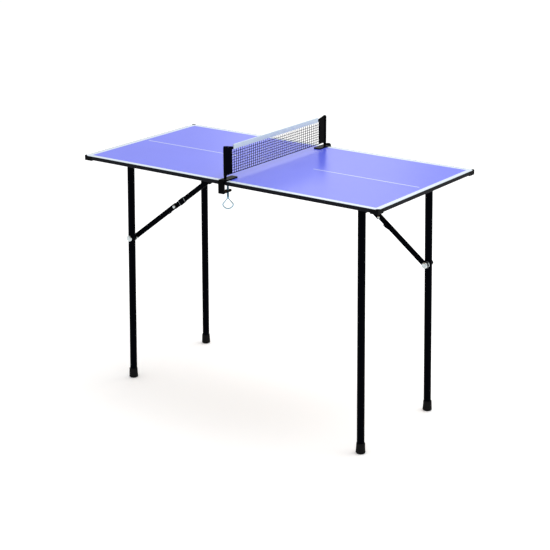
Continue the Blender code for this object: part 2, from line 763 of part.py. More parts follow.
def make_post(side, holder):
    """A moulded upright: a plate along the net, a column at its outer edge and a hook on top."""
    inner, outer = POST_Y
    column_y = outer - COLUMN_WIDTH
    outline = [
        (inner, POST_PLATE_Z),
        (column_y + 0.002, POST_PLATE_Z),
        (column_y + 0.002, POST_TOP_Z - 0.0004),
        (column_y, POST_TOP_Z - 0.0002),
        (inner - HOOK_REACH + 0.002, POST_TOP_Z - 0.0062),
        (inner - HOOK_REACH, POST_TOP_Z - 0.0085),
        (inner - HOOK_REACH + 0.001, POST_TOP_Z - 0.0062 - HOOK_HEIGHT),
        (inner, POST_TOP_Z - 0.0066 - HOOK_HEIGHT),
    ]
    name = "net_post_" + side
    turn = Matrix.Rotation(math.pi / 2, 4, "Z")
    mesh = plate_mesh(name, outline, POST_THICKNESS)
    mesh.transform(turn @ Matrix.Translation((0, -POST_THICKNESS / 2, 0)))
    post = add_object(name, mesh, POST_PLASTIC, holder)
    column_outline = [
        (column_y, POST_PLATE_Z - 0.0006),
        (column_y + 0.0012, POST_PLATE_Z - 0.0010),
        (column_y + 0.0012, BASE_Z + BASE_THICKNESS + GAP),
        (outer - 0.0010, BASE_Z + BASE_THICKNESS + GAP),
        (outer - 0.0010, POST_PLATE_Z - 0.0014),
        (outer, POST_PLATE_Z - 0.0006),
        (outer, POST_TOP_Z - 0.0035),
        (outer - 0.0022, POST_TOP_Z),
        (column_y, POST_TOP_Z - 0.0002),
    ]
    column = plate_mesh("net_column_" + side, column_outline, COLUMN_DEPTH)
    column.transform(turn @ Matrix.Translation((0, -COLUMN_DEPTH / 2, 0)))
    join(post, add_tool("net_column_" + side, column, holder))
    round_edges(post, 0.0006)


def make_pad(side, holder):
    mesh = rod_mesh("clamp_pad_" + side, PAD_RADIUS, MOUNT_Z - PAD_THICKNESS, MOUNT_Z, steps=SMALL_STEPS)
    add_object("clamp_pad_" + side, mesh, RUBBER, holder, Matrix.Translation((0, SCREW_Y, 0)), smooth=True)


def loop_points():
    """A triangle of wire with rounded corners that hangs from the screw by its sharp corner."""
    corner_x = LOOP_HALF_WIDTH - LOOP_CORNER
    corner_z = -(LOOP_CORNER + corner_x * math.cos(LOOP_SLOPE)) / math.sin(LOOP_SLOPE)
    rise = LOOP_HEIGHT + corner_z
    bottom = (corner_x**2 + rise**2 - LOOP_CORNER**2) / (2 * (rise - LOOP_CORNER))
    bottom_z = bottom - LOOP_HEIGHT
    slope = math.degrees(LOOP_SLOPE)
    meet = math.degrees(math.atan2(corner_z - bottom_z, corner_x))
    points = [(0.0, 0.0)]
    points += arc((corner_x, corner_z), LOOP_CORNER, slope, meet, 5)
    points += arc((0.0, bottom_z), bottom, meet, -180 - meet, 10)[1:-1]
    points += arc((-corner_x, corner_z), LOOP_CORNER, -180 - meet, -180 - slope, 5)
    return [(x, 0.0, z) for x, z in points]


def make_screw(side, holder):
    """A threaded rod with a ferrule and a wire loop to turn it by."""
    name = "clamp_screw_" + side
    top = MOUNT_Z - PAD_THICKNESS - GAP
    profile = [
        (0.0, top),
        (SCREW_RADIUS - 0.0006, top),
        (SCREW_RADIUS, top - 0.0006),
        (SCREW_RADIUS, SCREW_BOTTOM_Z + 0.0030),
        (SCREW_RADIUS + 0.0004, SCREW_BOTTOM_Z + 0.0026),
        (SCREW_RADIUS + 0.0004, SCREW_BOTTOM_Z - 0.0014),
        (SCREW_RADIUS - 0.0004, SCREW_BOTTOM_Z - 0.0020),
        (0.0, SCREW_BOTTOM_Z - 0.0020),
    ]
    mesh = turned_mesh(name, profile, steps=SMALL_STEPS)
    at_screw = Matrix.Translation((0, SCREW_Y, 0))
    screw = add_object(name, mesh, ZINC, holder, at_screw, smooth=True)
    loop = wire_mesh("clamp_loop_" + side, loop_points(), LOOP_WIRE, closed=True, sides=2)
    hang = Matrix.Translation((0, SCREW_Y, SCREW_BOTTOM_Z)) @ Matrix.Rotation(LOOP_ANGLE, 4, "Z")
    join(screw, add_tool("clamp_loop_" + side, loop, holder, hang))


def make_net():
    """The net, its tape and its bottom cord, as plain solids."""
    half = POST_Y[0] - 0.0012
    mesh = box_mesh(
        "net_mesh",
        (-NET_THICKNESS / 2, -half, NET_BOTTOM_Z + 2 * CORD_RADIUS + GAP),
        (NET_THICKNESS / 2, half, NET_TOP_Z - TAPE_HEIGHT - GAP),
    )
    at_net = Matrix.Translation((NET_X, 0, 0))
    add_object("net_mesh", mesh, NET_TWINE, None, at_net)
    tape_half = POST_Y[0] - HOOK_REACH - 0.0005
    tape = box_mesh(
        "net_tape",
        (-TAPE_THICKNESS / 2, -tape_half, NET_TOP_Z - TAPE_HEIGHT),
        (TAPE_THICKNESS / 2, tape_half, NET_TOP_Z),
    )
    part = add_object("net_tape", tape, WHITE_TAPE, None, at_net)
    round_edges(part, 0.0004)
    cord = rod_mesh("net_bottom_cord", CORD_RADIUS, -half, half, steps=SMALL_STEPS)
    place = Matrix.Translation((NET_X, 0, NET_BOTTOM_Z + CORD_RADIUS)) @ Matrix.Rotation(math.pi / 2, 4, "X")
    add_object("net_bottom_cord", cord, NET_TWINE, None, place, smooth=True)


def make_net_set():
    for side, turn in (("far", 0), ("near", 180)):
        place = Matrix.Translation((NET_X, 0, 0)) @ Matrix.Rotation(math.radians(turn), 4, "Z")
        holder = add_empty("net_end_" + side, None, place)
        make_clamp_body(side, holder)
        make_post(side, holder)
        make_pad(side, holder)
        make_screw(side, holder)
    make_net()


# --- the whole table -----------------------------------------------------------------------------

for leftover in list(bpy.data.objects):
    bpy.data.objects.remove(leftover)

PARTS = bpy.data.collections.new("ping_pong_table")
TOOLS = bpy.data.collections.new("cutters")
bpy.context.scene.collection.children.link(PARTS)
bpy.context.scene.collection.children.link(TOOLS)

BLUE_BOARD = make_material("blue_painted_board", (0.28, 0.31, 0.98), 0.35)
EDGE_BAND = make_material("black_edge_band", (0.018, 0.019, 0.024), 0.45)
CORNER_PLASTIC = make_material("black_corner_plastic", (0.015, 0.016, 0.019), 0.50)
BLACK_STEEL = make_material("black_powder_coated_steel", (0.006, 0.006, 0.008), 0.40)
RUBBER = make_material("black_rubber", (0.010, 0.010, 0.011), 0.75)
ZINC = make_material("zinc_plated_steel", (0.62, 0.66, 0.70), 0.32, 1.0)
CAST_BLACK = make_material("black_painted_casting", (0.013, 0.012, 0.012), 0.35)
POST_PLASTIC = make_material("black_post_plastic", (0.006, 0.006, 0.008), 0.40)
NET_TWINE = make_material("net_twine", (0.030, 0.030, 0.045), 0.80)
WHITE_TAPE = make_material("white_net_tape", (0.75, 0.80, 0.85), 0.75)

make_board()
make_edge_strips()
make_corner_caps()
for side_name, side_turn in (("left", 0), ("right", 180)):
    side_end = add_empty("end_" + side_name, None, Matrix.Rotation(math.radians(side_turn), 4, "Z"))
    side_frame = make_frame(side_name, side_end)
    make_brace(side_name, side_end, side_frame)
make_net_set()
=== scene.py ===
# %% [markdown]
# # A small folding ping pong table
#
# The CAD model of the table is the fixed frame of this lesson: a board, two hinged leg frames,
# two folding braces and a net on two screw clamps. Here each piece gets the finish of the real
# thing, and the pieces that need fine detail, such as the net, its tape and the clamp screws,
# are made again. All sizes are metres, with +X along the table, +Y across it and +Z up.

import math

import bmesh
import bpy
from mathutils import Matrix, Vector


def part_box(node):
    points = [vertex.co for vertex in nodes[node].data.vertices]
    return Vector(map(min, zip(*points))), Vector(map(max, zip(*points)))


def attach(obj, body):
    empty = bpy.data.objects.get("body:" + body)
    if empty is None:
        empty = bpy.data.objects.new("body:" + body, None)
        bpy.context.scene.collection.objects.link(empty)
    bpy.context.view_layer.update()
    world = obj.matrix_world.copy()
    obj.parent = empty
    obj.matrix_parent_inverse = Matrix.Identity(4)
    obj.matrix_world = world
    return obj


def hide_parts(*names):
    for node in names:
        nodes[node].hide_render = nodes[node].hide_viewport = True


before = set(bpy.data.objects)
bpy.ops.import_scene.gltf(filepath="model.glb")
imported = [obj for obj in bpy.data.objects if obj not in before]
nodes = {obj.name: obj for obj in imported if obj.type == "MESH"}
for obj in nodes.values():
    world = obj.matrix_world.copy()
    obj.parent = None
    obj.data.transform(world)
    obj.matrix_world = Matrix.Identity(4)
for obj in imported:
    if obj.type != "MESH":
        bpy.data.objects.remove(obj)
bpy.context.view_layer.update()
print("CAD nodes:", len(nodes))

# %% Sizes read from the frame
MM = 0.001


def box_of(name):
    low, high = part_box(name)
    return Vector(low), Vector(high)


cap_low, cap_high = box_of("corner_cap_far_right")
LENGTH = 2 * cap_high.x
WIDTH = 2 * cap_high.y
TOP_Z = box_of("table_top")[1].z
net_low, net_high = box_of("net_mesh")
NET_X = (net_low.x + net_high.x) / 2
print(f"board {LENGTH:.3f} x {WIDTH:.3f} m, playing surface at {TOP_Z:.4f} m")

# %% [markdown]
# ## Helpers
#
# Colours are written as the hex values a designer would use and turned into the linear values
# that the shader works with. One function adds a node: its settings are keywords, and its
# inputs are values or other nodes' sockets.

# %% Colour and node helpers
def linear(hex_color):
    """An sRGB hex colour as linear red, green, blue and alpha."""
    channels = []
    for start in (0, 2, 4):
        value = int(hex_color[start : start + 2], 16) / 255
        channels.append(value / 12.92 if value <= 0.04045 else ((value + 0.055) / 1.055) ** 2.4)
    return (*channels, 1.0)


def add_node(tree, kind, inputs=None, **settings):
    """Adds a node, sets its properties, and links or fills its inputs."""
    node = tree.nodes.new(kind)
    for name, value in settings.items():
        setattr(node, name, value)
    for key, value in (inputs or {}).items():
        if isinstance(value, bpy.types.NodeSocket):
            tree.links.new(value, node.inputs[key])
        else:
            node.inputs[key].default_value = value
    return node


def new_material(name, color, roughness, metallic=0.0, **sockets):
    """A material with one Principled shader, whose constant values sit on its own sockets."""
    material = bpy.data.materials.new(name)
    material.use_nodes = True
    tree = material.node_tree
    shader = tree.nodes["Principled BSDF"]
    shader.inputs["Base Color"].default_value = linear(color)
    shader.inputs["Roughness"].default_value = roughness
    shader.inputs["Metallic"].default_value = metallic
    for socket, value in sockets.items():
        shader.inputs[socket.replace("_", " ")].default_value = value
    return material, tree, shader


def give(material, *names):
    """Puts a material on CAD nodes."""
    for name in names:
        nodes[name].data.materials.clear()
        nodes[name].data.materials.append(material)


def both_ends(*names):
    """The names of pieces that both ends of the table have."""
    return [f"{name}_{end}" for name in names for end in ("left", "right")]


# %% [markdown]
# ## The painted board
#
# The board is medium density fibreboard, sprayed blue on top with a satin lacquer. The white
# lines are screen printed: a border right at the edge and a thin centre line. Procedural masks
# made from the position on the board draw the lines, so they stay sharp at any distance. The
# centre line stops short of the net and of the border, as on the real one.

# %% Line masks
BORDER_WIDTH = 14.5 * MM
CENTRE_LINE_WIDTH = 3.0 * MM
CENTRE_LINE_FROM = 117 * MM
CENTRE_LINE_TO = 424 * MM
LINE_SOFTNESS = 0.25 * MM  # ink spreads this far into the paint


def step_up(tree, value, edge, softness=LINE_SOFTNESS):
    """0 below the edge and 1 above it, with a short soft step between."""
    ramp = add_node(
        tree,
        "ShaderNodeMapRange",
        {"Value": value, "From Min": edge - softness, "From Max": edge + softness},
        interpolation_type="SMOOTHSTEP",
    )
    return ramp.outputs["Result"]


def math_node(tree, operation, *values):
    inputs = dict(enumerate(values))
    return add_node(tree, "ShaderNodeMath", inputs, operation=operation).outputs["Value"]


def court_lines(tree, position):
    """A mask of the white lines, from the place on the board."""
    parts = add_node(tree, "ShaderNodeSeparateXYZ", {"Vector": position})
    along = math_node(tree, "ABSOLUTE", parts.outputs["X"])
    across = math_node(tree, "ABSOLUTE", parts.outputs["Y"])
    end_line = step_up(tree, along, LENGTH / 2 - BORDER_WIDTH)
    side_line = step_up(tree, across, WIDTH / 2 - BORDER_WIDTH)
    border = math_node(tree, "MAXIMUM", end_line, side_line)
    off_centre = step_up(tree, across, CENTRE_LINE_WIDTH / 2)
    in_centre = math_node(tree, "SUBTRACT", 1.0, off_centre)
    past_start = step_up(tree, along, CENTRE_LINE_FROM)
    past_end = step_up(tree, along, CENTRE_LINE_TO)
    in_length = math_node(tree, "SUBTRACT", past_start, past_end)
    centre = math_node(tree, "MULTIPLY", in_centre, in_length)
    return math_node(tree, "MAXIMUM", border, centre)


# %% Sprayed and lacquered board
def painted_fibreboard():
    """Blue sprayed paint under a satin lacquer: even colour, soft reflections, faint orange peel."""
    material, tree, shader = new_material(
        "blue sprayed fibreboard", "5460DC", 0.30, IOR=1.5, Specular_IOR_Level=0.5
    )
    position = add_node(tree, "ShaderNodeTexCoord").outputs["Object"]
    cloud = add_node(tree, "ShaderNodeTexNoise", {"Vector": position, "Scale": 9.0, "Detail": 3.0})
    blue = add_node(
        tree,
        "ShaderNodeMix",
        {0: cloud.outputs["Fac"], 6: linear("505BD8"), 7: linear("5864E0")},
        data_type="RGBA",
    )
    lines = court_lines(tree, position)
    ink = add_node(
        tree,
        "ShaderNodeMix",
        {0: lines, 6: blue.outputs[2], 7: linear("C3CFDA")},
        data_type="RGBA",
    )
    fibre = add_node(tree, "ShaderNodeTexNoise", {"Vector": position, "Scale": 450.0, "Detail": 6.0})
    raw = add_node(
        tree,
        "ShaderNodeMix",
        {0: fibre.outputs["Fac"], 6: linear("7A5C3C"), 7: linear("B08A5E")},
        data_type="RGBA",
    )
    facing = add_node(tree, "ShaderNodeNewGeometry").outputs["True Normal"]
    up = add_node(tree, "ShaderNodeSeparateXYZ", {"Vector": facing}).outputs["Z"]
    is_top = math_node(tree, "GREATER_THAN", up, 0.3)
    surface = add_node(
        tree,
        "ShaderNodeMix",
        {0: is_top, 6: raw.outputs[2], 7: ink.outputs[2]},
        data_type="RGBA",
    )
    tree.links.new(surface.outputs[2], shader.inputs["Base Color"])
    rough = add_node(
        tree,
        "ShaderNodeMapRange",
        {"Value": is_top, "To Min": 0.85, "To Max": 0.30},
    )
    tree.links.new(rough.outputs["Result"], shader.inputs["Roughness"])
    # orange peel of sprayed lacquer, with waves about 2 mm long
    peel = add_node(tree, "ShaderNodeTexNoise", {"Vector": position, "Scale": 500.0, "Detail": 2.0})
    bump = add_node(
        tree,
        "ShaderNodeBump",
        {"Height": peel.outputs["Fac"], "Strength": 0.06, "Distance": 0.2 * MM},
    )
    tree.links.new(bump.outputs["Normal"], shader.inputs["Normal"])
    return material


give(painted_fibreboard(), "table_top")

# %% [markdown]
# ## Edging and corner shoes
#
# A thin black PVC band is glued round the edge, and a moulded black shoe covers each corner.
# The band comes off a roll, so it is smooth with faint drawn lines along its length. The shoes
# are injection moulded, with the fine spark texture of their mould.

# %% Black PVC band and moulded shoes
def extruded_pvc():
    """Black PVC band: satin, with faint lines along its length."""
    material, tree, shader = new_material(
        "black PVC edge band", "15161B", 0.38, IOR=1.53, Specular_IOR_Level=0.03
    )
    position = add_node(tree, "ShaderNodeTexCoord").outputs["Object"]
    stretched = add_node(tree, "ShaderNodeMapping", {"Vector": position, "Scale": (6.0, 6.0, 1800.0)})
    drawn = add_node(tree, "ShaderNodeTexNoise", {"Vector": stretched.outputs["Vector"], "Detail": 3.0})
    bump = add_node(
        tree,
        "ShaderNodeBump",
        {"Height": drawn.outputs["Fac"], "Strength": 0.15, "Distance": 0.1 * MM},
    )
    tree.links.new(bump.outputs["Normal"], shader.inputs["Normal"])
    rough = add_node(
        tree,
        "ShaderNodeMapRange",
        {"Value": drawn.outputs["Fac"], "To Min": 0.32, "To Max": 0.46},
    )
    tree.links.new(rough.outputs["Result"], shader.inputs["Roughness"])
    return material


def moulded_plastic(name, color, roughness, grain_mm, specular=0.5):
    """Injection moulded plastic with a fine spark-eroded grain, which softens its highlights."""
    material, tree, shader = new_material(name, color, roughness, IOR=1.5, Specular_IOR_Level=specular)
    position = add_node(tree, "ShaderNodeTexCoord").outputs["Object"]
    scale = 1.0 / (grain_mm * MM)
    grain = add_node(tree, "ShaderNodeTexNoise", {"Vector": position, "Scale": scale, "Detail": 2.0})
    bump = add_node(
        tree,
        "ShaderNodeBump",
        {"Height": grain.outputs["Fac"], "Strength": 0.25, "Distance": 0.15 * MM},
    )
    tree.links.new(bump.outputs["Normal"], shader.inputs["Normal"])
    rough = add_node(
        tree,
        "ShaderNodeMapRange",
        {"Value": grain.outputs["Fac"], "To Min": roughness - 0.06, "To Max": roughness + 0.06},
    )
    tree.links.new(rough.outputs["Result"], shader.inputs["Roughness"])
    return material


give(extruded_pvc(), *(f"edge_strip_{side}" for side in ("near", "far", "left", "right")))
corner_names = ("far_right", "far_left", "near_left", "near_right")
SHOE_PLASTIC = moulded_plastic("black ABS corner shoe", "08090B", 0.45, 0.7, specular=0.03)
give(SHOE_PLASTIC, *(f"corner_cap_{corner}" for corner in corner_names))
give(SHOE_PLASTIC, *both_ends("leg_plug_brace_side", "leg_plug_plain_side"))

# %% [markdown]
# ## Powder-coated steel
#
# The leg tubes, the links of the braces and their brackets are steel with a black powder coat.
# Powder melts into a film with a soft pebbled surface, which breaks reflections into a dull
# sheen. The coat on this table is deep black and reflects very little, so its specular level is
# far below the usual. The lock sleeves have the same coat, with light grey bands painted at
# their two ends as painted highlights for their bright edges.

# %% Black powder coat
def powder_coat():
    """Baked black powder: pebbles about 1 mm across, deep black, dull sheen."""
    material, tree, shader = new_material(
        "black powder coat", "020307", 0.42, IOR=1.5, Specular_IOR_Level=0.01
    )
    position = add_node(tree, "ShaderNodeTexCoord").outputs["Object"]
    pebbles = add_node(tree, "ShaderNodeTexNoise", {"Vector": position, "Scale": 900.0, "Detail": 2.0})
    bump = add_node(
        tree,
        "ShaderNodeBump",
        {"Height": pebbles.outputs["Fac"], "Strength": 0.25, "Distance": 0.15 * MM},
    )
    tree.links.new(bump.outputs["Normal"], shader.inputs["Normal"])
    dust = add_node(tree, "ShaderNodeTexNoise", {"Vector": position, "Scale": 35.0, "Detail": 4.0})
    rough = add_node(
        tree,
        "ShaderNodeMapRange",
        {"Value": dust.outputs["Fac"], "To Min": 0.36, "To Max": 0.50},
    )
    tree.links.new(rough.outputs["Result"], shader.inputs["Roughness"])
    return material


BLACK_STEEL = powder_coat()
tube_names = both_ends("leg_crossbar", "leg_brace_side", "leg_plain_side")
brace_names = both_ends("brace_lower_link", "brace_upper_link", "brace_bracket", "bracket_pin")
saddle_names = [f"hinge_saddle_{end}_{number}" for end in ("left", "right") for number in (1, 2)]
give(BLACK_STEEL, *tube_names, *brace_names, *saddle_names, "leg_nut_right")

# %% Lock sleeves with painted highlights at the rims
RIM_WIDTH = 0.9 * MM  # width of each painted highlight band, drawn a little wider than the real cut edge, so that it shows


def middle_of(name):
    low, high = box_of(name)
    return (low + high) / 2


def sleeve_with_painted_highlights(end):
    """The same powder coat, with light grey bands painted at the two ends of the sleeve: painted highlights
    for its bright edges.
    """
    material, tree, shader = new_material(
        f"powder coat worn at the rims, {end}", "020307", 0.42, IOR=1.5, Specular_IOR_Level=0.01
    )
    center = middle_of(f"lock_sleeve_{end}")
    along = (middle_of(f"bracket_pin_{end}") - middle_of(f"knee_rivet_upper_{end}")).normalized()
    along.y = 0.0
    sleeve = nodes[f"lock_sleeve_{end}"]
    corners = [sleeve.matrix_world @ vertex.co for vertex in sleeve.data.vertices]
    half = max((corner - center).dot(along) for corner in corners)
    position = add_node(tree, "ShaderNodeTexCoord").outputs["Object"]
    offset = add_node(tree, "ShaderNodeVectorMath", {0: position, 1: center}, operation="SUBTRACT")
    run = add_node(tree, "ShaderNodeVectorMath", {0: offset.outputs[0], 1: along}, operation="DOT_PRODUCT")
    from_middle = math_node(tree, "ABSOLUTE", run.outputs["Value"])
    # painted highlight: a ragged light grey band at each end of the sleeve stands in for the glint on its
    # bright edges
    highlight_edge_noise = add_node(tree, "ShaderNodeTexNoise", {"Vector": position, "Scale": 700.0, "Detail": 3.0})
    ragged = math_node(tree, "MULTIPLY_ADD", highlight_edge_noise.outputs["Fac"], 0.5 * MM, from_middle)
    painted_highlight_band = step_up(tree, ragged, half - RIM_WIDTH + 0.25 * MM)
    # the painted highlight colour, mixed in over the black coat
    color = add_node(
        tree,
        "ShaderNodeMix",
        {0: painted_highlight_band, 6: linear("020307"), 7: linear("A9B4BA")},
        data_type="RGBA",
    )
    tree.links.new(color.outputs[2], shader.inputs["Base Color"])
    return material


for end in ("left", "right"):
    give(sleeve_with_painted_highlights(end), f"lock_sleeve_{end}")

# %% [markdown]
# ## Rubber, zinc and the net's hardware
#
# The feet are moulded rubber with a matt skin. The bolts and rivets have a clear zinc plate,
# bright grey and slightly clouded, and the clamp screws a blue one. The clamp bodies are castings
# dipped in black paint, and the posts are satin black plastic.

# %% Rubber, zinc plate, painted casting and plastic posts
def moulded_rubber():
    """Black rubber: very matt, with a little dusty bloom."""
    material, tree, shader = new_material(
        "black moulded rubber", "09090A", 0.70, IOR=1.52, Specular_IOR_Level=0.08
    )
    position = add_node(tree, "ShaderNodeTexCoord").outputs["Object"]
    bloom = add_node(tree, "ShaderNodeTexNoise", {"Vector": position, "Scale": 220.0, "Detail": 4.0})
    color = add_node(
        tree,
        "ShaderNodeMix",
        {0: bloom.outputs["Fac"], 6: linear("070708"), 7: linear("101011")},
        data_type="RGBA",
    )
    tree.links.new(color.outputs[2], shader.inputs["Base Color"])
    bump = add_node(
        tree,
        "ShaderNodeBump",
        {"Height": bloom.outputs["Fac"], "Strength": 0.2, "Distance": 0.2 * MM},
    )
    tree.links.new(bump.outputs["Normal"], shader.inputs["Normal"])
    return material


def zinc_plate(name, color, dull, bright):
    """Zinc plated steel: bright, with a clouded sheen. Its colour comes from the last bath."""
    material, tree, shader = new_material(name, color, 0.30, metallic=1.0)
    position = add_node(tree, "ShaderNodeTexCoord").outputs["Object"]
    cloud = add_node(tree, "ShaderNodeTexNoise", {"Vector": position, "Scale": 260.0, "Detail": 3.0})
    color = add_node(
        tree,
        "ShaderNodeMix",
        {0: cloud.outputs["Fac"], 6: linear(dull), 7: linear(bright)},
        data_type="RGBA",
    )
    tree.links.new(color.outputs[2], shader.inputs["Base Color"])
    rough = add_node(
        tree,
        "ShaderNodeMapRange",
        {"Value": cloud.outputs["Fac"], "To Min": 0.22, "To Max": 0.42},
    )
    tree.links.new(rough.outputs["Result"], shader.inputs["Roughness"])
    return material


RUBBER = moulded_rubber()
ZINC = zinc_plate("clear zinc plate", "C6D0D2", "98A6AA", "E6EBEB")
BLUE_ZINC = zinc_plate("blue zinc plate", "8FB2C4", "6F9AB0", "A9C8D6")
PAINTED_CASTING = moulded_plastic("black paint on a casting", "040405", 0.34, 3.0, specular=0.02)
POST_PLASTIC = moulded_plastic("satin black nylon post", "020203", 0.42, 0.8, specular=0.02)
give(RUBBER, *both_ends("foot_brace_side", "foot_plain_side"), "clamp_pad_near", "clamp_pad_far")
give(ZINC, *both_ends("leg_bolt", "leg_spacer", "knee_rivet_lower", "knee_rivet_upper"))
give(ZINC, "leg_nut_left")
give(PAINTED_CASTING, "clamp_body_near", "clamp_body_far")
give(POST_PLASTIC, "net_post_near", "net_post_far")

# %% [markdown]
# ## Making meshes
#
# New pieces are built point by point with bmesh. Two small helpers cover most of them: one
# turns a profile about an upright axis, and one sweeps a round section along a path.

# %% Mesh helpers
def link_mesh(name, bm, material, place=None, smooth=True):
    mesh = bpy.data.meshes.new(name)
    bmesh.ops.recalc_face_normals(bm, faces=bm.faces)
    bm.to_mesh(mesh)
    bm.free()
    mesh.materials.append(material)
    piece = bpy.data.objects.new(name, mesh)
    bpy.context.scene.collection.objects.link(piece)
    piece.matrix_world = place or Matrix.Identity(4)
    if smooth:
        for face in mesh.polygons:
            face.use_smooth = True
        mesh.set_sharp_from_angle(angle=math.radians(40))
    return piece


def turn_profile(bm, profile, steps=24, center=(0.0, 0.0)):
    """Rings of (radius, height), joined and closed at both ends."""
    rings = []
    for radius, height in profile:
        ring = []
        for step in range(steps):
            angle = math.tau * step / steps
            x = center[0] + radius * math.cos(angle)
            y = center[1] + radius * math.sin(angle)
            ring.append(bm.verts.new((x, y, height)))
        rings.append(ring)
    join_rings(bm, rings)


def join_rings(bm, rings, closed=False):
    """Skins neighbouring rings, and caps the ends unless the path is closed."""
    pairs = list(zip(rings, rings[1:]))
    if closed:
        pairs.append((rings[-1], rings[0]))
    for first, second in pairs:
        count = len(first)
        for index in range(count):
            after = (index + 1) % count
            bm.faces.new((first[index], first[after], second[after], second[index]))
    if not closed:
        bm.faces.new(list(reversed(rings[0])))
        bm.faces.new(rings[-1])


def sweep(bm, points, radius, sides=6, closed=False, side_hint=Vector((1, 0, 0))):
    """A round section carried along the points, kept square to the path."""
    rings = []
    count = len(points)
    for index, point in enumerate(points):
        before = points[index - 1] if index or closed else points[index]
        after = points[(index + 1) % count] if index < count - 1 or closed else points[index]
        forward = (after - before).normalized()
        across = forward.cross(side_hint).normalized()
        outward = across.cross(forward).normalized()
        ring = []
        for side in range(sides):
            angle = math.tau * side / sides
            offset = across * math.cos(angle) + outward * math.sin(angle)
            ring.append(bm.verts.new(point + offset * radius))
        rings.append(ring)
    join_rings(bm, rings, closed)


# %% [markdown]
# ## The net
#
# The net is knotted from thin dark twine, with an open mesh. Each thread is swept as a thin
# round strand that passes in front of one crossing thread and behind the next, so the net has
# true depth and open holes. Its lowest thread is a stouter cord, laid from two plies.

# %% Net twine
def net_twine():
    """Polyester twine, matt, dark grey with a hint of blue."""
    material, tree, shader = new_material(
        "dark polyester twine", "12121C", 0.85, IOR=1.5, Specular_IOR_Level=0.05
    )
    position = add_node(tree, "ShaderNodeTexCoord").outputs["Object"]
    twist = add_node(tree, "ShaderNodeTexNoise", {"Vector": position, "Scale": 1500.0, "Detail": 2.0})
    color = add_node(
        tree,
        "ShaderNodeMix",
        {0: twist.outputs["Fac"], 6: linear("0A0A12"), 7: linear("1C1C2A")},
        data_type="RGBA",
    )
    tree.links.new(color.outputs[2], shader.inputs["Base Color"])
    return material


TWINE = net_twine()

# %% Net threads
THREAD = 1.50 * MM  # drawn stouter than the real 1 mm twine, so that it shows from far away
MESH_ACROSS = 8.7 * MM  # between upright threads
MESH_UP = 6.4 * MM  # between level threads
WEAVE = 0.30 * MM  # how far a thread bends round the ones it crosses
cord_low, cord_high = box_of("net_bottom_cord")
tape_low, tape_high = box_of("net_tape")


def spread_evenly(low, high, pitch):
    count = max(1, round((high - low) / pitch))
    return [low + (high - low) * index / count for index in range(count + 1)]


def woven_line(bm, fixed, runs, upright, phase):
    """One thread. It steps from front to back at each thread that it crosses."""
    points = []
    for index, run in enumerate(runs):
        side = WEAVE if (index + phase) % 2 else -WEAVE
        if upright:
            points.append(Vector((NET_X + side, fixed, run)))
        else:
            points.append(Vector((NET_X + side, run, fixed)))
        if index < len(runs) - 1:
            middle = (run + runs[index + 1]) / 2
            if upright:
                points.append(Vector((NET_X, fixed, middle)))
            else:
                points.append(Vector((NET_X, middle, fixed)))
    sweep(bm, points, THREAD / 2, sides=6)


uprights = spread_evenly(net_low.y + THREAD / 2, net_high.y - THREAD / 2, MESH_ACROSS)
levels = spread_evenly(cord_high.z - THREAD / 2, tape_low.z - THREAD / 2, MESH_UP)
bm = bmesh.new()
for index, y in enumerate(uprights):
    woven_line(bm, y, levels, True, index)
for index, z in enumerate(levels[1:-1], start=1):
    woven_line(bm, z, uprights, False, index + 1)
net = link_mesh("net_threads", bm, TWINE)
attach(net, "table")
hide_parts("net_mesh")
print("net:", len(uprights), "upright and", len(levels) - 2, "level threads")

# %% Bottom cord, two plies laid together
CORD_RADIUS = (cord_high.z - cord_low.z) / 2
PLY_RADIUS = CORD_RADIUS * 0.56
LAY = 9 * MM  # length of one full twist


def laid_cord(name, start, end, plies=2):
    """Plies wound round each other along a straight line."""
    bm = bmesh.new()
    length = (end - start).length
    steps = int(length / (LAY / 8))
    for ply in range(plies):
        points = []
        for step in range(steps + 1):
            share = step / steps
            angle = math.tau * (share * length / LAY + ply / plies)
            sway = Vector((math.cos(angle), 0.0, math.sin(angle))) * (CORD_RADIUS - PLY_RADIUS)
            points.append(start.lerp(end, share) + sway)
        sweep(bm, points, PLY_RADIUS, sides=6)
    return link_mesh(name, bm, TWINE)


cord_z = (cord_low.z + cord_high.z) / 2
bottom_cord = laid_cord(
    "net_laid_cord", Vector((NET_X, cord_low.y, cord_z)), Vector((NET_X, cord_high.y, cord_z))
)
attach(bottom_cord, "table")
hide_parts("net_bottom_cord")

# %% [markdown]
# ## The white tape
#
# A strip of white woven tape is folded over the top of the net and sewn along its lower edge.
# It is modelled as the folded strip it is, with its own thickness, rounded over the cord that
# runs inside it. The weave and the stitches are too fine for geometry, so a bump draws them.

# %% Woven tape material
WEAVE_PITCH = 1.2 * MM  # the real yarns are about 0.5 mm, drawn coarser so that they show
STITCH_PITCH = 3.5 * MM
STITCH_Z = tape_low.z + 2.2 * MM


